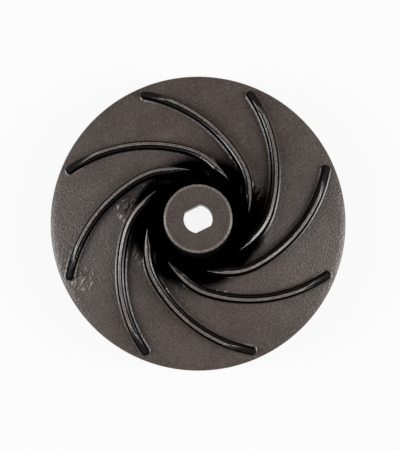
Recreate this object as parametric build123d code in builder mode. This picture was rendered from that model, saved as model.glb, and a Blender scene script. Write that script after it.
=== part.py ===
from build123d import *
from math import radians, tan
import os

# Semi-open pump impeller, cast in one piece: a round back disc, a hub standing in a deep annular
# well, and eight swept vanes from the well out to the rim. The hub's nose has a double-D bore for
# the shaft, and is cored out behind it.
# Millimetres. +Z points along the shaft towards the hub's nose. The origin is the middle of the
# flat back face, and the flats of the bore are parallel to X.

# Disc
disc_diameter = 125.0
rim_thickness = 4.0
rim_front_height = 20.0  # from the back face to the disc's front at its rim
floor_rise = 4.5  # how far the disc's front climbs from the rim to the lip of the well
rim_bevel = 0.6

# Well around the hub, and the pan that closes it at the back
lip_diameter = 52.5  # where the well's wall would meet the disc's front if the lip were sharp
lip_shoulder = 2.2  # how far the easing of the lip reaches, both outwards and down the wall
lip_crown = 0.65  # how far the easing's middle stays from the sharp corner, both ways
well_draft = 3.0  # degrees
well_root_bevel = 2.5
pan_floor = 4.5  # metal between the well and the back face
pan_wall = 4.0  # metal round the well, measured across the lip
pan_root_bevel = 3.0
pan_edge_bevel = 1.2

# Hub
hub_diameter = 28.2  # at its face
hub_height = 24.0  # from the disc's front at the rim to the hub's face
hub_draft = 1.5  # degrees
hub_edge = 0.7

# Double-D bore in the hub's nose, and the wider cored recess behind it
bore_diameter = 12.0
bore_across_flats = 10.0
bore_length = 10.0
bore_lead_in = 0.4
recess_diameter = 20.0
recess_edge = 0.8

# Vanes, laid out along their middle line from the outer end inwards
vane_count = 8
vane_tip_margin = 3.1  # from the middle of a vane's outer end to the rim
vane_tip_angle = 42.2  # degrees from X to the outer end
vane_exit_angle = 33.4  # degrees between the vane's outer end and the rim
vane_outer_bend = 59.2
vane_outer_turn = 51.3  # degrees
vane_inner_bend = 25.7
vane_inner_turn = 48.0  # degrees
vane_thickness = 3.0
vane_nose_length = 5.4  # the inner end narrows to a point over this length
vane_tip_round = 1.1
vane_sink = 1.5  # how far a vane's foot runs into the disc and the pan
crest_bevel = 0.55

# Crest of the vanes: heights above the disc's front at the rim
rim_height = 2.5  # where the ramp down over the outer end would cross the rim
ramp_height = 5.0  # where that ramp begins
ramp_length = 8.5  # from there to the rim
middle_height = 7.6
middle_radius = 38.0
nose_height = 14.4
nose_radius = 20.5

# Worked out from the sizes above
disc_radius = disc_diameter / 2
vane_tip_radius = disc_radius - vane_tip_margin
lip_radius = lip_diameter / 2
rim_back_height = rim_front_height - rim_thickness
lip_height = rim_front_height + floor_rise
face_height = rim_front_height + hub_height
pan_radius = lip_radius + pan_wall
floor_slope = floor_rise / (disc_radius - lip_radius)
pan_root_height = rim_back_height + floor_slope * (disc_radius - pan_radius)
well_root_radius = lip_radius - (lip_height - pan_floor) * tan(radians(well_draft))
hub_root_radius = hub_diameter / 2 + (face_height - pan_floor) * tan(radians(hub_draft))
crest_top = rim_front_height + nose_height
ramp_radius = disc_radius - ramp_length

# One vane: its plan drawn out along the shaft's direction, then cut to its height across the disc
tip = Vector(vane_tip_radius, 0).rotate(Axis.Z, vane_tip_angle)
inwards = Vector(1, 0).rotate(Axis.Z, vane_tip_angle - 90 - vane_exit_angle)

with BuildPart() as vane:
    with BuildSketch(Plane.XY.offset(crest_top)) as plan:
        with BuildLine() as middle:
            outer_bend = JernArc(tip, inwards, vane_outer_bend, -vane_outer_turn)
            inner_bend = JernArc(outer_bend @ 1, outer_bend % 1, vane_inner_bend, -vane_inner_turn)
        trace(middle.edges(), line_width=vane_thickness)
        nose_share = 1 - vane_nose_length / inner_bend.length
        nose_side = (inner_bend % nose_share).rotate(Axis.Z, 90) * (vane_thickness / 2)
        end_side = (inner_bend % 1).rotate(Axis.Z, 90) * (vane_thickness / 2)
        with BuildLine():
            Polyline(
                (inner_bend @ nose_share) - nose_side,
                (inner_bend @ 1) + end_side,
                (inner_bend @ 1) - end_side * 2,
                close=True,
            )
        make_face(mode=Mode.SUBTRACT)
        corners = plan.vertices().sort_by(lambda corner: corner.center().length)
        fillet(corners[-2:], vane_tip_round)
    extrude(amount=pan_floor - vane_sink - crest_top)
    with BuildSketch(Plane.YZ) as reach:
        with BuildLine():
            crest = Spline(
                (disc_radius, rim_front_height + rim_height),
                (ramp_radius, rim_front_height + ramp_height),
                (middle_radius, rim_front_height + middle_height),
                (nose_radius, crest_top),
            )
            Polyline(
                crest @ 0,
                (disc_radius, rim_front_height - vane_sink),
                (lip_radius, lip_height - vane_sink),
                (well_root_radius, pan_floor - vane_sink),
                (hub_root_radius, pan_floor - vane_sink),
                (hub_root_radius, crest_top),
                crest @ 1,
            )
        make_face()
    revolve(axis=Axis.Z, mode=Mode.INTERSECT)
    crest_faces = vane.faces().filter_by(lambda face: face.normal_at().Z > 0.5)
    crest_edges = [
        edge for edge in vane.edges() if sum(edge in face.edges() for face in crest_faces) == 1
    ]
    chamfer(crest_edges, crest_bevel)

with BuildPart() as impeller:
    # Half section of the disc, pan, well and hub
    with BuildSketch(Plane.XZ) as section:
        with BuildLine():
            Polyline(
                (0, 0),
                (pan_radius - pan_edge_bevel, 0),
                (pan_radius, pan_edge_bevel),
                (pan_radius, pan_root_height - pan_root_bevel),
                (pan_radius + pan_root_bevel, pan_root_height - floor_slope * pan_root_bevel),
                (disc_radius - rim_bevel, rim_back_height + floor_slope * rim_bevel),
                (disc_radius, rim_back_height + rim_bevel),
                (disc_radius, rim_front_height - rim_bevel),
                (disc_radius - rim_bevel, rim_front_height + floor_slope * rim_bevel),
                (lip_radius + lip_shoulder, lip_height - floor_slope * lip_shoulder),
                (lip_radius + lip_crown, lip_height - lip_crown),
                (lip_radius, lip_height - lip_shoulder),
                (well_root_radius, pan_floor + well_root_bevel),
                (well_root_radius - well_root_bevel, pan_floor),
                (hub_root_radius, pan_floor),
                (hub_diameter / 2, face_height - hub_edge),
                (hub_diameter / 2 - hub_edge, face_height),
                (0, face_height),
                close=True,
            )
        make_face()
    revolve(axis=Axis.Z)

    with PolarLocations(0, vane_count):
        add(vane.part)

    # The cored recess, and the bore that runs from it to the hub's face
    with BuildSketch():
        Circle(recess_diameter / 2)
    extrude(amount=face_height - bore_length, mode=Mode.SUBTRACT)
    with BuildSketch() as double_d:
        Circle(bore_diameter / 2)
        Rectangle(bore_diameter, bore_across_flats, mode=Mode.INTERSECT)
    extrude(amount=face_height, mode=Mode.SUBTRACT)
    level_faces = impeller.faces().filter_by(Axis.Z).group_by(Axis.Z)
    chamfer(level_faces[0][0].inner_wires()[0].edges(), recess_edge)
    chamfer(level_faces[-1][0].inner_wires()[0].edges(), bore_lead_in)

os.makedirs("parts", exist_ok=True)
impeller.part.label = "impeller"
export_step(impeller.part, "parts/impeller.step")
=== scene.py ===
from math import atan, cos, exp, hypot, pi, radians, sin, sqrt, tan

import bmesh
import bpy
from mathutils import Matrix, Vector


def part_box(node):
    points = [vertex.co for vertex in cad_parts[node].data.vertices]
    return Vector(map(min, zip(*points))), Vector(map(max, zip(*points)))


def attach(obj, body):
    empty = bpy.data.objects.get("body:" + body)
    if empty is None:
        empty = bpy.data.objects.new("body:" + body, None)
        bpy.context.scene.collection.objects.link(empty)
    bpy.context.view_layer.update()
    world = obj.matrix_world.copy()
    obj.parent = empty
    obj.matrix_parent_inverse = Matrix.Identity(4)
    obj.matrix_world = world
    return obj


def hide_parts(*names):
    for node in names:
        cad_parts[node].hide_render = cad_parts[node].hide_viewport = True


bl_info = {
    "name": "Pump Impeller",
    "version": (1, 0, 0),
    "blender": (4, 5, 0),
    "location": "View3D > Sidebar > Impeller",
    "description": "A semi-open cast-iron pump impeller with eight swept vanes, and a stage for it",
    "category": "Object",
}

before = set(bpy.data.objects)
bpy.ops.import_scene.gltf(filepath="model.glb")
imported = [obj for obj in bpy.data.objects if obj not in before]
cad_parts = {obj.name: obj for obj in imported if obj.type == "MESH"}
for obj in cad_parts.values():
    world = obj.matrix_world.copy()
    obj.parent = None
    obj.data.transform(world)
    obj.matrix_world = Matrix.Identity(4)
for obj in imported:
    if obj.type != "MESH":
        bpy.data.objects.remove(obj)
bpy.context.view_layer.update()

MM = 0.001
FULL_TURN = 2 * pi
MERGE_DISTANCE = 0.001 * MM

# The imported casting's radius and height in millimetres, and how high its rim's front lies
_, top_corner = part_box("impeller")
DISC_RADIUS = round(top_corner[0] / MM, 2)
FACE_HEIGHT = round(top_corner[2] / MM, 2)
RIM_FRONT = 20.0


# ---------------------------------------------------------------- sizes and colours


def length_property(name, description, millimetres):
    """A length that the sidebar shows in scene units."""
    return bpy.props.FloatProperty(
        name=name,
        description=description,
        default=millimetres * MM,
        min=0.0,
        precision=5,
        subtype="DISTANCE",
        unit="LENGTH",
    )


def angle_property(name, description, in_degrees):
    """An angle that the sidebar shows in degrees."""
    return bpy.props.FloatProperty(
        name=name,
        description=description,
        default=radians(in_degrees),
        subtype="ANGLE",
        unit="ROTATION",
    )


def colour_property(name, description, hex_value):
    """A colour as an sRGB hex value."""
    return bpy.props.StringProperty(name=name, description=description, default=hex_value)


class CastingSizes(bpy.types.PropertyGroup):
    """Disc, pan, well, hub and bore"""

    disc_radius: length_property("Disc radius", "Radius of the round back disc", DISC_RADIUS)
    rim_thickness: length_property("Rim thickness", "Thickness of the disc at its rim", 4.0)
    rim_front: length_property(
        "Rim height", "From the back face to the disc's front at its rim", RIM_FRONT
    )
    floor_rise: length_property("Floor rise", "Climb of the disc's front from rim to lip", 4.5)
    rim_round: length_property("Rim round", "Radius on both edges of the rim", 0.8)
    lip_radius: length_property("Lip radius", "Where the well's wall would meet the disc", 26.25)
    lip_round: length_property("Lip round", "Radius on the lip of the well", 2.4)
    well_draft: angle_property("Well draft", "Slope of the well's wall", 3.0)
    root_round: length_property("Well root round", "Radius at the foot of the well's walls", 3.0)
    pan_floor: length_property("Pan floor", "Metal between the well and the back face", 4.5)
    pan_wall: length_property("Pan wall", "Metal round the well", 4.0)
    pan_root_round: length_property("Pan root round", "Radius between pan and disc's back", 4.0)
    pan_edge_round: length_property("Pan edge round", "Radius on the edge of the back face", 1.5)
    hub_radius: length_property("Hub radius", "Radius of the hub at its face", 14.1)
    hub_height: length_property(
        "Hub height", "From the disc's front at the rim to the hub's face", FACE_HEIGHT - RIM_FRONT
    )
    hub_draft: angle_property("Hub draft", "Slope of the hub's wall", 1.5)
    hub_edge: length_property("Hub edge", "Chamfer round the hub's face", 0.75)
    bore_radius: length_property("Bore radius", "Radius of the shaft's bore", 6.0)
    bore_half_flats: length_property("Half across flats", "From the shaft's axis to each flat", 5.0)
    bore_length: length_property("Bore length", "From the hub's face to the recess behind", 10.0)
    bore_lead_in: length_property("Bore lead-in", "Chamfer at the bore's mouth", 0.4)
    recess_radius: length_property("Recess radius", "Radius of the recess behind the bore", 10.0)
    recess_edge: length_property("Recess edge", "Round on the recess's edge in the back face", 0.8)
    steps: bpy.props.IntProperty(
        name="Steps round",
        description="Divisions of the disc round its axis",
        default=192,
        min=48,
        max=360,
    )


class VaneSizes(bpy.types.PropertyGroup):
    """Plan and section of one vane, and their number"""

    count: bpy.props.IntProperty(
        name="Vanes", description="Number of vanes", default=8, min=3, max=12
    )
    tip_radius: length_property("Tip radius", "From the shaft's axis to a vane's outer end", 59.4)
    tip_angle: angle_property("Tip angle", "Where the first vane's outer end stands", 42.2)
    exit_angle: angle_property("Exit angle", "Between a vane's outer end and the rim", 33.4)
    outer_bend: length_property("Outer bend", "Radius of the vane's outer stretch", 59.2)
    outer_turn: angle_property("Outer turn", "Turn over the outer stretch", 51.3)
    inner_bend: length_property("Inner bend", "Radius of the vane's inner stretch", 25.7)
    inner_turn: angle_property("Inner turn", "Turn over the inner stretch", 48.0)
    thickness: length_property("Thickness", "Thickness just under the crest", 2.6)
    outer_swell: length_property("Outer swell", "Swell of the convex wall below the crest", 0.42)
    inner_swell: length_property("Inner swell", "Swell of the concave wall below the crest", 0.25)
    draft: angle_property("Draft", "Slope of the vane's walls", 1.0)
    nose_length: length_property("Nose length", "Stretch over which the inner end narrows", 7.0)
    tip_round: length_property("Tip round", "Radius on the corners of the outer end", 1.15)
    outer_root: length_property("Outer root", "Hollow at the foot of the convex wall", 0.8)
    inner_root: length_property("Inner root", "Hollow at the foot of the concave wall", 1.1)
    sink: length_property("Sink", "How far a vane's skirt runs into the disc", 0.4)


class CoatingColours(bpy.types.PropertyGroup):
    """Shades of the coating, of the black painted shade and pale painted highlights laid on it, and
    of the stage's floor
    """

    coat: colour_property("Coat", "Dip coating on the casting", "#564C47")
    thin_coat: colour_property("Thin coat", "Coating where it lies thinly on the grain", "#635954")
    bare_grain: colour_property("Bare grain", "Sand grains that stand out of it", "#7B716B")
    deep_coat: colour_property("Deep coat", "Coating between the grains", "#3E3531")
    # Black laid as painted shade in the well, on the vanes' walls and over their outer ends
    shade_black: colour_property("Black coat", "Coating in the well and on the walls", "#080707")
    # Pale colour for worn land and for painted highlight lines along edges, feet and the hub's
    # chamfer
    rubbed_and_highlight_coat: colour_property("Rubbed coat", "Thin coating along the edges", "#A89E97")
    floor: colour_property("Stage floor", "Plain floor under the part", "#F4F4F4")


def casting():
    """Sizes of the disc, pan, well, hub and bore."""
    return bpy.context.scene.impeller_casting


def vane():
    """Sizes of the vanes."""
    return bpy.context.scene.impeller_vanes


def colours():
    """Shades of the coating and the floor."""
    return bpy.context.scene.impeller_colours


# ---------------------------------------------------------------- heights across the casting


def eased(value, low, high):
    """0 below low, 1 above high, and smooth between; low may be the greater."""
    t = min(1.0, max(0.0, (value - low) / (high - low)))
    return t * t * (3 - 2 * t)


def faded(length, band):
    """Eased over a band that is given in millimetres."""
    start, full = band
    return eased(length, start * MM, full * MM)


def floor_slope():
    """Angle of the disc's front."""
    c = casting()
    return atan(c.floor_rise / (c.disc_radius - c.lip_radius))


def ground(radius, lift):
    """Height of the disc's front, lip, well wall and well floor, raised off the metal by lift."""
    c = casting()
    slope = floor_slope()
    lip_height = c.rim_front + c.floor_rise
    reach = c.lip_round + lift
    # The middle of the lip's round lies lip_round inside both the floor and the wall
    shift = c.lip_round / cos(slope)
    wall_shift = c.lip_round / cos(c.well_draft)
    fall = tan(slope)
    lean = tan(c.well_draft)
    down = (wall_shift * fall + shift) / (1 + fall * lean)
    middle_radius = c.lip_radius + wall_shift - down * lean
    middle_height = lip_height - down
    if radius >= middle_radius + reach * sin(slope):
        return c.rim_front + (c.disc_radius - radius) * fall + lift / cos(slope)
    if radius >= middle_radius - reach * cos(c.well_draft):
        return middle_height + sqrt(max(0.0, reach**2 - (radius - middle_radius) ** 2))
    wall = lip_height - (c.lip_radius - lift / cos(c.well_draft) - radius) / lean
    return max(wall, c.pan_floor + lift)


# Line of the crest: radius from the shaft's axis and height above the disc's front at the rim
CREST_LINE = (
    (20.5, 14.4),
    (29.0, 10.6),
    (38.0, 7.6),
    (46.0, 6.15),
    (54.0, 5.0),
    (DISC_RADIUS, 2.5),
)


def crest(radius):
    """Height of a vane's crest, on a smooth line through CREST_LINE."""
    points = [(r * MM, h * MM) for r, h in CREST_LINE]
    slopes = [(b[1] - a[1]) / (b[0] - a[0]) for a, b in zip(points, points[1:])]
    tangents = [slopes[0]] + [(a + b) / 2 for a, b in zip(slopes, slopes[1:])] + [slopes[-1]]
    span = 0
    while span < len(points) - 2 and radius > points[span + 1][0]:
        span += 1
    (r0, h0), (r1, h1) = points[span], points[span + 1]
    width = r1 - r0
    t = min(1.0, max(0.0, (radius - r0) / width))
    rise = (
        h0 * (1 + 2 * t) * (1 - t) ** 2
        + tangents[span] * width * t * (1 - t) ** 2
        + h1 * t * t * (3 - 2 * t)
        - tangents[span + 1] * width * t * t * (1 - t)
    )
    return casting().rim_front + rise


# ---------------------------------------------------------------- crests and coating

# The coating at a point is told by four layers, each from 0 to 1: the black, which is painted shade
# in the well, on the vanes' walls and over their outer ends, with a slight darkening of the hub's
# face; the pale rub, which is worn land and painted highlight lines along edges and feet; how dusty
# and matt it is; and how far it sagged
COAT_LAYERS = ("pooled_and_shade", "rubbed_and_highlight", "dusty", "sagged")
# Rings from the crest's flat land down to a wall: distance in from the wall and drop below the land
# in millimetres, then painted shade, rub and dust. The worn land is pale, its edges carry pale
# painted highlight lines, and below them the rings are laid black as painted shade. On the convex
# side the land ends in a crisp edge. On the concave side a fine matt groove follows it, and a glossy
# sloping band leads down to the wall.
CONVEX_EDGE = (
    (0.62, 0.0, 0.0, 0.35, 0.0),
    (0.46, 0.0, 0.0, 0.6, 0.0),
    (0.34, 0.03, 0.0, 0.8, 0.0),
    (0.26, 0.09, 0.95, 0.2, 0.6),
    (0.20, 0.14, 1.0, 0.0, 1.0),
    (0.08, 0.28, 1.0, 0.0, 1.0),
    (0.02, 0.42, 1.0, 0.0, 1.0),
    (0.0, 0.62, 1.0, 0.0, 1.0),
)
CONCAVE_EDGE = (
    (1.46, 0.0, 0.0, 0.35, 0.0),
    (1.34, 0.0, 0.0, 1.0, 0.0),
    (1.25, 0.03, 0.1, 1.0, 0.0),
    (1.18, 0.08, 1.0, 0.0, 1.0),
    (0.70, 0.16, 1.0, 0.0, 1.0),
    (0.64, 0.22, 0.94, 0.0, 0.0),
    (0.12, 0.64, 0.94, 0.0, 0.0),
    (0.04, 0.95, 1.0, 0.0, 1.0),
)
# Over the ramp at a vane's outer end the crest stays as cast: half round, laid black as painted
# shade, and matt on its steep sides
CAST_ROUND_WIDTH = 1.25
CAST_ROUND_HEIGHT = 1.1
CAST_EDGE = tuple(
    (
        CAST_ROUND_WIDTH * (1 - sin(radians(steepness))),
        CAST_ROUND_HEIGHT * (1 - cos(radians(steepness))),
        0.93 if steepness < 40 else 1.0,
        0.0,
        0.0 if steepness < 60 else 1.0,
    )
    for steepness in (8, 20, 32, 44, 56, 67, 78, 90)
)
# How many of the first rings lie on the land and its edge
LAND_RINGS = 3
# Width in millimetres below which a vane's nose has no room for the whole section
NARROWEST_FULL_CREST = 2.1
# Rings of the hollow where a vane grows out of the disc, from the wall out: shares of the way out
# and of the height, then painted shade, rub and dust. Low in the hollow it is laid black as painted
# shade, and further out a pale painted highlight line runs along it
ROOT_RINGS = (
    (0.0, 1.0, 1.0, 0.0, 1.0),
    (0.06, 0.62, 1.0, 0.0, 1.0),
    (0.17, 0.40, 1.0, 0.0, 1.0),
    (0.30, 0.29, 0.7, 0.4, 0.1),
    (0.55, 0.16, 0.1, 1.0, 0.0),
    (0.80, 0.05, 0.0, 1.0, 0.1),
    (1.0, 0.0, 0.0, 0.0, 0.0),
)
# Rings on a vane's wall, as shares of its depth
WALL_RINGS = (0.1, 0.28, 0.55)
# Radii in millimetres of the rings across the disc's front that carry its coating and the painted
# shade towards the lip
FLOOR_RINGS = (59.5, 57.0, 55.0, 53.0, 51.0, 48.5, 45.0, 36.0, 34.0, 32.5, 31.0, 30.0, 29.0)

# Bands of radius in which the coating changes, from where a change starts to where it is full
PAST_HUB = (16.0, 18.0)
INTO_WELL = (28.5, 25.5)  # the vanes turn black with painted shade, and dusty
TOWARDS_LIP = (31.5, 26.5)  # painted shade darkens the coating towards the lip
SAGGED_AT_LIP = (32.5, 28.5)
ONTO_CAST_END = (52.0, 55.0)  # the crest's edges give way to the half round as cast
HIGHLIGHT_FROM = (50.5, 52.5)  # a pale painted highlight spot lies on the crest where the ramp begins
HIGHLIGHT_UP_TO = (55.0, 53.0)
DULL_END = (54.5, 56.5)  # and past that its end is dull
CLEAR_FOOT = (52.0, 56.0)  # the pale painted highlight line round a vane's foot is clear from here out
# Depths in millimetres over which the walls of the well turn black with painted shade, and then
# dusty
BLACK_DEPTHS = (0.4, 2.2)
DUSTY_DEPTHS = (1.2, 3.5)

# How far each of these reaches, as a share of the layer's whole
# The lip's share is painted shade; the hub's edge share and the faint foot set pale painted
# highlight lines
LIP_SHADE = 0.75
LIP_SAGGED = 0.06
HUB_POOLED = 0.1
HUB_DUSTY = 0.5
HUB_EDGE_HIGHLIGHT = 0.7
HIGHLIGHT_SHARE = 0.9  # of the painted shade that the painted highlight spot takes off the crest
END_DUSTY = 0.96
FAINT_FOOT = 0.45
# A face whose corners are all this deep in painted shade and this dusty gets the dead matt black
# material of painted shade
SHADE_BLACK_LEVEL = 0.97

# Places where the coating sagged: radius in millimetres, angle in degrees, reach in millimetres
# and how strongly it wrinkled. Within a share of its reach a sag is at its strongest.
SAGS = ((28.0, 140.0, 8.0, 1.0), (26.5, -5.0, 6.0, 0.9), (53.6, 180.0, 6.0, 0.3))
SAG_CORE = 0.3


def sagging(x, y):
    """How far the coating sagged here."""
    strongest = LIP_SAGGED * faded(hypot(x, y), SAGGED_AT_LIP)
    for radius, degrees, reach, strength in SAGS:
        centre_x = radius * MM * cos(radians(degrees))
        centre_y = radius * MM * sin(radians(degrees))
        distance = hypot(x - centre_x, y - centre_y)
        spot = strength * eased(distance, reach * MM, SAG_CORE * reach * MM)
        strongest = max(strongest, spot)
    return strongest


# ---------------------------------------------------------------- materials


def linear(hex_colour):
    """An sRGB hex value as linear RGBA."""
    channels = [int(hex_colour[i : i + 2], 16) / 255 for i in (1, 3, 5)]
    red, green, blue = (
        v / 12.92 if v <= 0.04045 else ((v + 0.055) / 1.055) ** 2.4 for v in channels
    )
    return red, green, blue, 1.0


def add_node(tree, kind, settings=None, inputs=None):
    """Adds a node, sets its settings, and fills or links its inputs."""
    node = tree.nodes.new(kind)
    for name, value in (settings or {}).items():
        setattr(node, name, value)
    for name, value in (inputs or {}).items():
        if isinstance(value, bpy.types.NodeSocket):
            tree.links.new(value, node.inputs[name])
        else:
            node.inputs[name].default_value = value
    return node


def mixed_colour(tree, factor, first, second):
    """Two colours mixed by a factor; either may be a socket or a value."""
    mix = add_node(tree, "ShaderNodeMix", {"data_type": "RGBA"}, {"Factor": factor})
    for name, value in (("A", first), ("B", second)):
        # Mix has sockets of the same name for each type of value
        socket = [i for i in mix.inputs if i.name == name and i.type == "RGBA"][0]
        if isinstance(value, bpy.types.NodeSocket):
            tree.links.new(value, socket)
        else:
            socket.default_value = value
    return [o for o in mix.outputs if o.type == "RGBA"][0]


def new_tree(name):
    """An empty material, its node tree and its output."""
    material = bpy.data.materials.new(name)
    material.use_nodes = True
    tree = material.node_tree
    tree.nodes.clear()
    return material, tree, add_node(tree, "ShaderNodeOutputMaterial")


def per_metre(millimetres):
    """Scale of a noise whose grains are this wide."""
    return 1 / (millimetres * MM)


def dip_coated_cast_iron():
    """Sand-cast grey iron under a thin dark dip coating.

    The sand leaves a fine pebbled skin, and the coating lies over it as a satin film: dark between
    the grains, and a little paler and glossier on top of them. Black is laid as painted shade, and a
    pale colour marks worn land and painted highlight lines.
    """
    c = colours()
    material, tree, output = new_tree("dip_coated_cast_iron")
    where = add_node(tree, "ShaderNodeTexCoord").outputs["Object"]
    pooled_and_shade, rubbed_and_highlight, dusty, sagged = (
        add_node(tree, "ShaderNodeAttribute", {"attribute_name": layer}).outputs["Fac"]
        for layer in COAT_LAYERS
    )
    # Sand grains about 0.8 mm across, with finer ones on them, and clouds in the coat, 9 mm across
    grains, clouds = (
        add_node(
            tree,
            "ShaderNodeTexNoise",
            {"noise_dimensions": "3D"},
            {"Vector": where, "Scale": per_metre(size), "Detail": detail, "Roughness": roughness},
        ).outputs["Fac"]
        for size, detail, roughness in ((0.8, 2.0, 0.6), (9.0, 3.0, 0.55))
    )
    between, standing, speckle, gloss = (
        add_node(
            tree,
            "ShaderNodeMapRange",
            {},
            {"Value": grains, "From Min": start, "From Max": full, "To Min": least, "To Max": most},
        ).outputs["Result"]
        for start, full, least, most in (
            (0.52, 0.36, 0.0, 0.5),  # between the grains the coat is darker
            (0.56, 0.7, 0.0, 0.5),  # the largest grains stand out of it, paler
            # the pale rub and painted highlight lines are speckled with grains
            (0.42, 0.62, 0.35, 1.0),  # rubbed edges are speckled with grains
            (0.3, 0.7, 0.5, 0.34),  # roughness, least on top of the grains
        )
    )
    film = add_node(tree, "ShaderNodeValToRGB", {}, {"Fac": clouds})
    for stop, position, shade in zip(film.color_ramp.elements, (0.3, 0.7), (c.coat, c.thin_coat)):
        stop.position = position
        stop.color = linear(shade)
    # The pale colour marks worn land and painted highlight lines; the black is painted shade
    shown = add_node(tree, "ShaderNodeMath", {"operation": "MULTIPLY"}, {0: rubbed_and_highlight, 1: speckle})
    colour = film.outputs["Color"]
    for share, shade in (
        (between, c.deep_coat),
        (standing, c.bare_grain),
        (shown.outputs[0], c.rubbed_and_highlight_coat),
        (pooled_and_shade, c.shade_black),
    ):
        colour = mixed_colour(tree, share, colour, linear(shade))
    # Dust takes the bright film off the coat
    roughness, film_weight = (
        add_node(
            tree, "ShaderNodeMapRange", {}, {"Value": dusty, "To Min": clean, "To Max": covered}
        ).outputs["Result"]
        for clean, covered in ((gloss, 0.85), (0.9, 0.0))
    )
    # Where the coating sagged it dried in wrinkles 2 mm across and three times as long
    along = add_node(
        tree, "ShaderNodeMapping", {}, {"Vector": where, "Rotation": (0.0, 0.0, radians(-28))}
    )
    drawn_out = add_node(
        tree,
        "ShaderNodeVectorMath",
        {"operation": "MULTIPLY"},
        {0: along.outputs["Vector"], 1: (0.33, 1.0, 1.0)},
    )
    wrinkles = add_node(
        tree,
        "ShaderNodeTexNoise",
        {"noise_dimensions": "3D"},
        {
            "Vector": drawn_out.outputs["Vector"],
            "Scale": per_metre(2.0),
            "Detail": 2.0,
            "Roughness": 0.5,
            "Distortion": 0.6,
        },
    )
    height = add_node(
        tree,
        "ShaderNodeMapRange",
        {},
        {"Value": wrinkles.outputs["Fac"], "From Min": 0.42, "From Max": 0.75, "To Max": 2.4},
    )
    sag = add_node(
        tree,
        "ShaderNodeMath",
        {"operation": "MULTIPLY"},
        {0: sagged, 1: height.outputs["Result"]},
    )
    bumps = []
    # Heights in millimetres: the sand's pebbles in the iron, and what of them shows in the film
    for pebble_height in (0.3, 0.11):
        skin = add_node(
            tree,
            "ShaderNodeMath",
            {"operation": "MULTIPLY_ADD"},
            {0: grains, 1: pebble_height, 2: sag.outputs[0]},
        )
        bump = add_node(
            tree,
            "ShaderNodeBump",
            {},
            {"Strength": 1.0, "Distance": MM, "Height": skin.outputs[0]},
        )
        bumps.append(bump.outputs["Normal"])
    iron_bump, film_bump = bumps
    # The iron has little shine of its own under the film, which gives the satin
    shader = add_node(
        tree,
        "ShaderNodeBsdfPrincipled",
        {},
        {
            "Base Color": colour,
            "Roughness": roughness,
            "Normal": iron_bump,
            "IOR": 1.25,
            "Metallic": 0.0,
            "Coat Weight": film_weight,
            "Coat Roughness": 0.26,
            "Coat IOR": 1.6,
            "Coat Normal": film_bump,
        },
    )
    tree.links.new(shader.outputs["BSDF"], output.inputs["Surface"])
    return material


def shade_black_matt():
    """Black laid as painted shade deep in the well, on the vanes' walls and over their outer ends,
    dead matt.
    """
    material, tree, output = new_tree("shade_black_matt")
    shader = add_node(
        tree,
        "ShaderNodeBsdfPrincipled",
        {},
        {
            "Base Color": linear(colours().shade_black),
            "Roughness": 0.9,
            "Specular IOR Level": 0.0,
        },
    )
    tree.links.new(shader.outputs["BSDF"], output.inputs["Surface"])
    return material


def stage_paper():
    """Pale matt paper, shown close to white behind the part while it keeps the part's shadow."""
    material, tree, output = new_tree("stage_paper")
    rays = add_node(tree, "ShaderNodeLightPath").outputs
    seen = rays["Is Camera Ray"]
    for kind in ("Is Glossy Ray", "Is Transmission Ray"):
        either = add_node(
            tree, "ShaderNodeMath", {"operation": "MAXIMUM"}, {0: seen, 1: rays[kind]}
        )
        seen = either.outputs[0]
    share = add_node(tree, "ShaderNodeMath", {"operation": "MULTIPLY"}, {0: seen, 1: 0.9})
    paper = add_node(
        tree, "ShaderNodeBsdfDiffuse", {}, {"Color": linear(colours().floor), "Roughness": 0.5}
    )
    glow = add_node(tree, "ShaderNodeEmission", {}, {"Color": (1, 1, 1, 1), "Strength": 1.0})
    mix = add_node(
        tree,
        "ShaderNodeMixShader",
        {},
        {0: share.outputs[0], 1: paper.outputs[0], 2: glow.outputs[0]},
    )
    tree.links.new(mix.outputs[0], output.inputs["Surface"])
    return material


# ---------------------------------------------------------------- mesh helpers


SHARP_ANGLE = radians(32)


def coat_layers(bm):
    """The mesh's layers of the coating, made where they are missing."""
    for name in COAT_LAYERS:
        if not bm.verts.layers.float.get(name):
            bm.verts.layers.float.new(name)
    return tuple(bm.verts.layers.float[name] for name in COAT_LAYERS)


def finished(bm, name):
    """Turns a bmesh into a smooth-shaded, coated object that rides on the part."""
    bmesh.ops.remove_doubles(bm, verts=bm.verts, dist=MERGE_DISTANCE)
    bmesh.ops.recalc_face_normals(bm, faces=bm.faces)
    pooled_and_shade, _, dusty, _ = coat_layers(bm)
    for face in bm.faces:
        face.smooth = True
        # Faces laid black with painted shade and dusty take the matt black painted-shade material
        in_shade_black = all(min(vert[pooled_and_shade], vert[dusty]) > SHADE_BLACK_LEVEL for vert in face.verts)
        face.material_index = 1 if in_shade_black else 0
    for edge in bm.edges:
        edge.smooth = len(edge.link_faces) == 2 and edge.calc_face_angle(0) < SHARP_ANGLE
    mesh = bpy.data.meshes.new(name)
    bm.to_mesh(mesh)
    bm.free()
    for make in (dip_coated_cast_iron, shade_black_matt):
        mesh.materials.append(make())
    piece = bpy.data.objects.new(name, mesh)
    bpy.context.collection.objects.link(piece)
    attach(piece, "root")
    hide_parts("impeller")
    return piece


def find_edges_on_ring(bm, radius, height):
    """Edges that run round the axis at this radius and height."""
    near = 0.01 * MM
    return [
        edge
        for edge in bm.edges
        if all(
            max(abs(hypot(v.co.x, v.co.y) - radius), abs(v.co.z - height)) < near
            for v in edge.verts
        )
    ]


def bevelled(bm, geom, offset, segments, affect):
    """Rounds these edges or corners."""
    bmesh.ops.bevel(
        bm,
        geom=geom,
        offset=offset,
        offset_type="OFFSET",
        segments=segments,
        profile=0.5,
        affect=affect,
        clamp_overlap=True,
        material=-1,
    )


# ---------------------------------------------------------------- pieces


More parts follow.
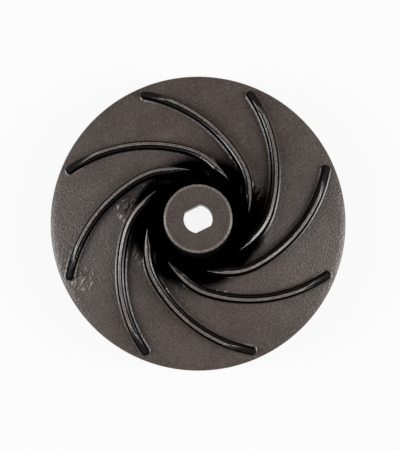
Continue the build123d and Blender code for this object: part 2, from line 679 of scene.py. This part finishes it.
class IMPELLER_OT_cast_body(bpy.types.Operator):
    """Turns the disc, pan, well and hub, and cuts the double-D bore"""

    bl_idname = "impeller.cast_body"
    bl_label = "Disc, Well and Hub"
    bl_options = {"REGISTER", "UNDO"}

    def execute(self, context):
        c = casting()
        fall = tan(floor_slope())
        lip_height = c.rim_front + c.floor_rise
        face_height = c.rim_front + c.hub_height
        rim_back = c.rim_front - c.rim_thickness
        pan_radius = c.lip_radius + c.pan_wall
        pan_root_height = rim_back + fall * (c.disc_radius - pan_radius)
        well_root = c.lip_radius - (lip_height - c.pan_floor) * tan(c.well_draft)
        hub_root = c.hub_radius + (face_height - c.pan_floor) * tan(c.hub_draft)
        # The bore is drawn in from plain rings this far round it, at both of its ends
        mouth = c.bore_radius + 1.5 * MM
        # Plain rings on the well's wall, on the hub's wall and on its face hold the edges of the
        # coating and of the painted shade
        wall_ring = 4 * MM
        hub_ring = 2.5 * MM
        face_ring = 0.4 * MM
        # Rounds on the recess's inner end and on both sides of the hub's chamfer
        recess_end_round = 1.0 * MM
        hub_wall_round = 0.2 * MM
        hub_face_round = 0.3 * MM
        # The chamfer falls less than it reaches in
        chamfer_drop = 0.45 * c.hub_edge
        # Half section: radius, height, and the round on that corner with its number of segments
        section = (
            (mouth, face_height - c.bore_length, 0, 0),
            (c.recess_radius, face_height - c.bore_length, recess_end_round, 4),
            (c.recess_radius, 0, c.recess_edge, 2),
            (pan_radius, 0, c.pan_edge_round, 5),
            (pan_radius, pan_root_height, c.pan_root_round, 6),
            (c.disc_radius, rim_back, c.rim_round, 4),
            (c.disc_radius, c.rim_front, c.rim_round, 4),
            *((r * MM, c.rim_front + fall * (c.disc_radius - r * MM), 0, 0) for r in FLOOR_RINGS),
            (c.lip_radius, lip_height, c.lip_round, 8),
            (c.lip_radius - wall_ring * tan(c.well_draft), lip_height - wall_ring, 0, 0),
            (well_root, c.pan_floor, c.root_round, 6),
            (hub_root, c.pan_floor, c.root_round, 6),
            (c.hub_radius + hub_ring * tan(c.hub_draft), face_height - hub_ring, 0, 0),
            (c.hub_radius, face_height - chamfer_drop, hub_wall_round, 2),
            (c.hub_radius - c.hub_edge, face_height, hub_face_round, 2),
            (c.hub_radius - c.hub_edge - face_ring, face_height, 0, 0),
            (mouth, face_height, 0, 0),
        )
        bm = bmesh.new()
        corners = [bm.verts.new((r, 0, z)) for r, z, _, _ in section]
        chain = [bm.edges.new(pair) for pair in zip(corners, corners[1:])]
        bmesh.ops.spin(
            bm,
            geom=corners + chain,
            cent=(0, 0, 0),
            axis=(0, 0, 1),
            angle=FULL_TURN,
            steps=c.steps,
            use_merge=True,
        )
        bmesh.ops.remove_doubles(bm, verts=bm.verts, dist=MERGE_DISTANCE)
        for i, (radius, height, size, segments) in enumerate(section):
            if segments:
                here = Vector((radius, height))
                turn = (here - Vector(section[i - 1][:2])).angle(Vector(section[i + 1][:2]) - here)
                ring = find_edges_on_ring(bm, radius, height)
                bevelled(bm, ring, size * tan(turn / 2), segments, "EDGES")
        self.line_bore(bm, mouth, face_height)
        self.coat(bm, face_height)
        finished(bm, "impeller_body")
        return {"FINISHED"}

    def coat(self, bm, face_height):
        """Lays the coating: painted shade darkening it towards the lip and black in the well, where
        it is dusty, a slightly darker and dusty hub face, and a pale painted highlight round the
        hub's chamfer.
        """
        c = casting()
        pooled_and_shade, rubbed_and_highlight, dusty, sagged = coat_layers(bm)
        for vert in bm.verts:
            x, y, height = vert.co
            radius = hypot(x, y)
            on_front = eased(height, c.rim_front - MM, c.rim_front) * faded(radius, PAST_HUB)
            by_lip = on_front * faded(radius, TOWARDS_LIP)
            on_hub = radius < c.hub_radius and height > face_height - c.hub_edge
            vert[sagged] = on_front * sagging(x, y)
            vert[pooled_and_shade] = max(
                self.in_well(radius, height, BLACK_DEPTHS), LIP_SHADE * by_lip, HUB_POOLED * on_hub
            )
            vert[dusty] = max(self.in_well(radius, height, DUSTY_DEPTHS), HUB_DUSTY * on_hub)
            # A pale painted highlight all round the hub's chamfer
            vert[rubbed_and_highlight] = HUB_EDGE_HIGHLIGHT * self.on_hub_edge(radius, height)

    def in_well(self, radius, height, depths):
        """How far a point lies down in the well, 0 above these depths and 1 below them."""
        c = casting()
        in_bore = radius < c.bore_radius + c.bore_lead_in
        on_back = height < c.pan_floor - MM
        if in_bore or on_back or radius > c.lip_radius + c.lip_round:
            return 0.0
        rise = c.hub_height if radius < c.hub_radius + 2 * MM else c.floor_rise
        return faded(c.rim_front + rise - height, depths)

    def on_hub_edge(self, radius, height):
        """True on the chamfer round the hub's face."""
        c = casting()
        margin = 0.1 * MM
        above_wall = height >= c.rim_front + c.hub_height - c.hub_edge
        return above_wall and radius >= c.hub_radius - c.hub_edge - margin

    def line_bore(self, bm, mouth, face_height):
        """Draws the ring round the bore's mouth in to the double-D, down its length and out."""
        c = casting()
        rounding = 0.00002 * MM
        recess_end = face_height - c.bore_length
        edges = find_edges_on_ring(bm, mouth, face_height)
        before = mouth
        for radius, flat, height in (
            (c.bore_radius + c.bore_lead_in, c.bore_half_flats + c.bore_lead_in, face_height),
            (c.bore_radius, c.bore_half_flats, face_height - c.bore_lead_in),
            (c.bore_radius, c.bore_half_flats, recess_end),
            (mouth, mouth, recess_end),
        ):
            grown = bmesh.ops.extrude_edge_only(bm, edges=edges)["geom"]
            edges = [g for g in grown if isinstance(g, bmesh.types.BMEdge)]
            for vert in (g for g in grown if isinstance(g, bmesh.types.BMVert)):
                side = 1 if vert.co.y > 0 else -1
                x = vert.co.x * radius / before
                # Rounding would part the two points on the x axis from the ring that they meet
                on_axis = radius - abs(x) < rounding
                y = 0.0 if on_axis else min(flat, sqrt(radius**2 - x**2))
                vert.co = (x, side * y, height)
            before = radius


class IMPELLER_OT_cast_vanes(bpy.types.Operator):
    """Builds one swept vane with its rounded crest and root, and copies it round the disc"""

    bl_idname = "impeller.cast_vanes"
    bl_label = "Vanes"
    bl_options = {"REGISTER", "UNDO"}

    def execute(self, context):
        v = vane()
        bm = bmesh.new()
        self.lay_out_plan(bm)
        self.raise_walls(bm)
        bmesh.ops.remove_doubles(bm, verts=bm.verts, dist=MERGE_DISTANCE)
        bmesh.ops.recalc_face_normals(bm, faces=bm.faces)
        step = FULL_TURN / v.count
        bmesh.ops.spin(
            bm,
            geom=bm.verts[:] + bm.edges[:] + bm.faces[:],
            cent=(0, 0, 0),
            axis=(0, 0, 1),
            angle=step * (v.count - 1),
            steps=v.count - 1,
            use_duplicate=True,
        )
        finished(bm, "impeller_vanes")
        return {"FINISHED"}

    def lay_out_plan(self, bm):
        """A flat ribbon along the vane's two bends, with a pointed nose and rounded tip corners."""
        v = vane()
        half = v.thickness / 2
        place = Matrix.Rotation(v.tip_angle, 3, "Z") @ Vector((v.tip_radius, 0, 0))
        heading = v.tip_angle - pi / 2 - v.exit_angle
        across = Vector((-sin(heading), cos(heading), 0))
        rung = [bm.verts.new(place + across * half), bm.verts.new(place - across * half)]
        geom = rung + [bm.edges.new(rung)]
        # One step long enough for the tip's corners, then short ones along both bends
        end_turn = v.tip_round * 1.3 / v.outer_bend
        outer_step = 0.6 * MM
        inner_step = 0.4 * MM
        outer_steps = round(v.outer_bend * v.outer_turn / outer_step)
        inner_steps = round(v.inner_bend * v.inner_turn / inner_step)
        runs = (
            (v.outer_bend, end_turn, 1),
            (v.outer_bend, v.outer_turn - end_turn, outer_steps),
            (v.inner_bend, v.inner_turn, inner_steps),
        )
        ladder = [rung]
        for bend, turn, steps in runs:
            centre = place - across * bend
            for _ in range(steps):
                geom = bmesh.ops.spin(
                    bm, geom=geom, cent=centre, axis=(0, 0, -1), angle=turn / steps, steps=1
                )["geom_last"]
                ends = [g for g in geom if isinstance(g, bmesh.types.BMVert)]
                ends.sort(key=lambda vert: (vert.co - centre).length, reverse=True)
                ladder.append(ends)
            across = Matrix.Rotation(-turn, 3, "Z") @ across
            place = centre + across * bend
        # Over the nose the concave side runs across, almost to the convex side
        blunt_nose = 0.97
        nose_start = v.inner_turn - v.nose_length / v.inner_bend
        for i, (convex, concave) in enumerate(ladder[-1 - inner_steps :]):
            turn = v.inner_turn * i / inner_steps
            if turn > nose_start:
                share = (turn - nose_start) / (v.inner_turn - nose_start)
                concave.co = concave.co.lerp(convex.co, min(share, blunt_nose))
        bevelled(bm, list(ladder[0]), v.tip_round, 5, "VERTICES")

    def raise_walls(self, bm):
        """Shapes the crest's edges, drops the walls from them and flares them into the disc."""
        pooled_and_shade, rubbed_and_highlight, dusty, sagged = coat_layers(bm)
        outline = self.outline(bm)
        underside = bmesh.ops.duplicate(bm, geom=bm.verts[:] + bm.edges[:] + bm.faces[:])
        below = [underside["vert_map"][vert] for vert in outline]
        count = len(outline)
        flat = [vert.co.copy() for vert in outline]
        normals = []
        for i in range(count):
            before = (flat[i] - flat[i - 1]).normalized()
            after = (flat[(i + 1) % count] - flat[i]).normalized()
            normals.append(Vector((before.y + after.y, -before.x - after.x, 0)).normalized())
        area = sum(flat[i - 1].x * flat[i].y - flat[i].x * flat[i - 1].y for i in range(count))
        if area < 0:
            normals = [-n for n in normals]
        # 0 where the outline faces outwards, on the convex side, and 1 where it faces the hub
        hollows = [eased(p.normalized().dot(n), 0.25, -0.25) for p, n in zip(flat, normals)]
        widths = [self.width(flat, normals, i) for i in range(count)]
        lower = set(below)
        edges = [e for e in bm.edges if len(e.link_faces) == 1 and e.verts[0] not in lower]
        ring = outline
        # Each ring's kind and place, then its coating: painted shade, rub and dust. The walls are
        # laid black as painted shade, and the root's hollow carries a pale painted highlight line.
        # That of an edge comes from edge_place.
        rings = (
            [("edge", step, 0, 0, 0) for step in range(len(CONVEX_EDGE))]
            + [("wall", depth, 1.0, 0.0, 1.0) for depth in WALL_RINGS]
            + [("root", (out, lift), *coating) for out, lift, *coating in ROOT_RINGS]
            + [("skirt", (1.0, 0.0), 0.0, 0.0, 0.0)]
        )
        for number, (kind, amount, coat, rub_and_highlight, dust) in enumerate(rings):
            on_edge = kind == "edge"
            step = amount if on_edge else -1
            if number:
                grown = bmesh.ops.extrude_edge_only(bm, edges=edges)["geom"]
                edges = [g for g in grown if isinstance(g, bmesh.types.BMEdge)]
                fresh = {g for g in grown if isinstance(g, bmesh.types.BMVert)}
                ring = [
                    next(e.other_vert(vert) for e in vert.link_edges if e.other_vert(vert) in fresh)
                    for vert in ring
                ]
            for i, vert in enumerate(ring):
                shoulder, *coating = self.edge_place(
                    flat[i], normals[i], widths[i], hollows[i], step
                )
                if on_edge:
                    vert.co = shoulder
                    vert[pooled_and_shade], vert[rubbed_and_highlight], vert[dusty] = coating
                    continue
                vert.co = self.wall_place(flat[i], normals[i], hollows[i], shoulder.z, kind, amount)
                radius = hypot(vert.co.x, vert.co.y)
                # Towards the lip and in the well the vanes are darkened and laid black as painted
                # shade
                in_well = faded(radius, INTO_WELL)
                by_lip = LIP_SHADE * faded(radius, TOWARDS_LIP)
                # The product runs on from point to point: a ring's pale painted highlight line
                # starts on the concave side of the outer end, fades out along that side and doesn't
                # come back
                clear = FAINT_FOOT + (1 - FAINT_FOOT) * faded(radius, CLEAR_FOOT)
                rub_and_highlight *= (1 - max(in_well, by_lip)) * clear
                vert[pooled_and_shade] = max(coat, in_well, by_lip)
                vert[rubbed_and_highlight] = rub_and_highlight
                vert[dusty] = max(dust, in_well)
                vert[sagged] = 0.0 if kind == "wall" else sagging(vert.co.x, vert.co.y)
        for above, vert in zip(ring, below):
            vert.co = above.co

    def edge_place(self, place, normal, width, hollow, step):
        """Where a ring of the crest's edge lies, and its painted shade, its rub with painted
        highlight lines, and its dust.
        """
        radius = hypot(place.x, place.y)
        cast = faded(radius, ONTO_CAST_END)
        sections = zip(CONVEX_EDGE[step], CONCAVE_EDGE[step], CAST_EDGE[step])
        inset, drop, coat, rub_and_highlight, dust = (
            (convex + (concave - convex) * hollow) * (1 - cast) + as_cast * cast
            for convex, concave, as_cast in sections
        )
        # On the narrow nose the edges share what width there is
        share = min(1.0, width / (NARROWEST_FULL_CREST * MM)) * MM
        spot = place - normal * (inset * share)
        spot.z = crest(hypot(spot.x, spot.y)) - drop * share
        if step < LAND_RINGS:
            # A pale painted highlight spot on the land where the ramp begins, with less painted
            # shade under it
            highlight_spot = faded(radius, HIGHLIGHT_FROM) * faded(radius, HIGHLIGHT_UP_TO)
            coat *= 1 - HIGHLIGHT_SHARE * highlight_spot
            rub_and_highlight = max(rub_and_highlight, highlight_spot)
        return spot, coat, rub_and_highlight, max(dust, END_DUSTY * faded(radius, DULL_END))

    def wall_place(self, place, normal, hollow, shoulder, kind, amount):
        """Where a ring of the wall, of the hollow at its foot or of the skirt below it lies."""
        v = vane()
        # The foot stays at least this far below the crest's edge
        least_depth = 0.02 * MM
        swell = v.outer_swell + (v.inner_swell - v.outer_swell) * hollow
        root = v.outer_root + (v.inner_root - v.outer_root) * hollow
        if kind == "wall":
            out, lift = 0.0, root
        else:
            out, lift = root * amount[0], root * amount[1]
        if kind == "skirt":
            lift = -v.sink
        spot = place + normal * out
        foot = ground(hypot(spot.x, spot.y), lift)
        spot = place + normal * (out + self.lean(max(0.0, shoulder - foot), swell))
        foot = min(ground(hypot(spot.x, spot.y), lift), shoulder - least_depth)
        if kind == "wall":
            middle = place + normal * self.lean((shoulder - foot) * amount, swell)
            return Vector((middle.x, middle.y, shoulder + (foot - shoulder) * amount))
        return Vector((spot.x, spot.y, foot))

    def lean(self, depth, swell):
        """How far the wall stands out at this depth below the crest's edge."""
        swell_depth = 2.2 * MM
        return swell * (1 - exp(-depth / swell_depth)) + depth * tan(vane().draft)

    def width(self, flat, normals, i):
        """Width of the vane at this point of the outline, to the points straight across."""
        place, normal = flat[i], normals[i]
        least_width = 0.05 * MM
        aside = 0.5 * MM
        width = vane().thickness
        for other, facing in zip(flat, normals):
            offset = other - place
            depth = -offset.dot(normal)
            # Neighbours on the same side face the same way, and don't count
            opposite = facing.dot(normal) < 0.5 and depth > least_width
            if opposite and (offset + normal * depth).length < aside:
                width = min(width, depth)
        return width

    def outline(self, bm):
        """The ribbon's outer vertices in order, from the concave side of its outer end inwards."""
        edge = next(e for e in bm.edges if len(e.link_faces) == 1)
        start = edge.verts[0]
        walk = [start]
        vert = edge.other_vert(start)
        while vert is not start:
            walk.append(vert)
            edge = next(e for e in vert.link_edges if len(e.link_faces) == 1 and e is not edge)
            vert = edge.other_vert(vert)
        return walk


# The part stands turned on the stage, so the stage's own left and right are turned too
STAGE_TURN = radians(-26.5)
# Metres and watts
FLOOR_RADIUS = 4.0
FLOOR_GAP = 0.0005
LAMP_PLACE = (0.62, -0.06, 0.49)  # of the right one; the left one is its mirror image
LAMP_SIZE = (0.28, 0.6)
LAMP_WATTS = 4.65
# A long lens over the rim's front; metres, and millimetres for the lens
CAMERA_TILT = radians(4.1)
CAMERA_DISTANCE = 0.75
FOCAL_LENGTH = 141.7
SENSOR_WIDTH = 36
LENS_SHIFT = (0.00427, -0.00516)


class IMPELLER_OT_set_stage(bpy.types.Operator):
    """Lays the floor, hangs the lamps and places the camera over the hub"""

    bl_idname = "impeller.set_stage"
    bl_label = "Stage, Lamps and Camera"
    bl_options = {"REGISTER", "UNDO"}

    def execute(self, context):
        scene = context.scene
        scene.view_settings.view_transform = "Standard"
        turn = Matrix.Rotation(STAGE_TURN, 3, "Z")
        target = Vector((0, 0, casting().rim_front))
        self.lay_floor()
        self.light_world(scene)
        x, y, z = LAMP_PLACE
        for name, side in (("left_softbox", -1), ("right_softbox", 1)):
            self.hang_lamp(name, turn @ Vector((side * x, y, z)), target)
        self.place_camera(scene, turn, target)
        return {"FINISHED"}

    def lay_floor(self):
        """A wide round sheet of paper just under the back face."""
        bm = bmesh.new()
        bmesh.ops.create_circle(bm, cap_ends=True, radius=FLOOR_RADIUS, segments=96)
        mesh = bpy.data.meshes.new("stage_floor")
        bm.to_mesh(mesh)
        bm.free()
        mesh.materials.append(stage_paper())
        floor = bpy.data.objects.new("stage_floor", mesh)
        floor.location.z = -FLOOR_GAP
        bpy.context.collection.objects.link(floor)

    def light_world(self, scene):
        """Pale walls that fade to a dim ceiling."""
        world = bpy.data.worlds.new("studio")
        world.use_nodes = True
        tree = world.node_tree
        tree.nodes.clear()
        way = add_node(tree, "ShaderNodeTexCoord").outputs["Generated"]
        up = add_node(tree, "ShaderNodeSeparateXYZ", {}, {"Vector": way}).outputs["Z"]
        strength = add_node(
            tree,
            "ShaderNodeMapRange",
            {"interpolation_type": "SMOOTHSTEP"},
            {"Value": up, "From Min": 0.05, "From Max": 0.25, "To Min": 0.5, "To Max": 0.02},
        )
        background = add_node(
            tree,
            "ShaderNodeBackground",
            {},
            {"Color": (1, 1, 1, 1), "Strength": strength.outputs["Result"]},
        )
        output = add_node(tree, "ShaderNodeOutputWorld")
        tree.links.new(background.outputs[0], output.inputs["Surface"])
        scene.world = world

    def hang_lamp(self, name, place, target):
        """A tall softbox that faces the part."""
        lamp = bpy.data.lights.new(name, "AREA")
        lamp.shape = "RECTANGLE"
        lamp.size, lamp.size_y = LAMP_SIZE
        lamp.energy = LAMP_WATTS
        holder = bpy.data.objects.new(name, lamp)
        holder.location = place
        holder.rotation_euler = (target - place).to_track_quat("-Z", "Y").to_euler()
        bpy.context.collection.objects.link(holder)

    def place_camera(self, scene, turn, target):
        """Looks almost straight down at the hub."""
        back = turn @ Vector((0, -sin(CAMERA_TILT), cos(CAMERA_TILT)))
        right = turn @ Vector((1, 0, 0))
        up = back.cross(right)
        lens = bpy.data.cameras.new("camera")
        lens.lens = FOCAL_LENGTH
        lens.sensor_width = SENSOR_WIDTH
        lens.shift_x, lens.shift_y = LENS_SHIFT
        lens.clip_start = 0.01
        camera = bpy.data.objects.new("camera", lens)
        facing = Matrix((right, up, back)).transposed().to_4x4()
        camera.matrix_world = Matrix.Translation(target + back * CAMERA_DISTANCE) @ facing
        bpy.context.collection.objects.link(camera)
        scene.camera = camera


class IMPELLER_PT_sidebar(bpy.types.Panel):
    """Lists the pieces, and the sizes and colours that they are made from"""

    bl_idname = "IMPELLER_PT_sidebar"
    bl_label = "Pump Impeller"
    bl_space_type = "VIEW_3D"
    bl_region_type = "UI"
    bl_category = "Impeller"

    def draw(self, context):
        for operator in OPERATORS:
            self.layout.operator(operator.bl_idname)
        for _, name in GROUPS:
            group = getattr(context.scene, name)
            box = self.layout.box()
            for size in group.__annotations__:
                box.prop(group, size)


OPERATORS = (IMPELLER_OT_cast_body, IMPELLER_OT_cast_vanes, IMPELLER_OT_set_stage)
GROUPS = (
    (CastingSizes, "impeller_casting"),
    (VaneSizes, "impeller_vanes"),
    (CoatingColours, "impeller_colours"),
)


def register():
    """Adds the properties, the operators and the panel."""
    for group, name in GROUPS:
        bpy.utils.register_class(group)
        setattr(bpy.types.Scene, name, bpy.props.PointerProperty(type=group))
    for shown in OPERATORS + (IMPELLER_PT_sidebar,):
        bpy.utils.register_class(shown)


def unregister():
    """Takes them away again."""
    for shown in reversed(OPERATORS + (IMPELLER_PT_sidebar,)):
        bpy.utils.unregister_class(shown)
    for group, name in reversed(GROUPS):
        delattr(bpy.types.Scene, name)
        bpy.utils.unregister_class(group)


def main():
    """Builds the part on its stage."""
    register()
    bpy.ops.impeller.cast_body()
    bpy.ops.impeller.cast_vanes()
    bpy.ops.impeller.set_stage()


if __name__ == "__main__":
    main()
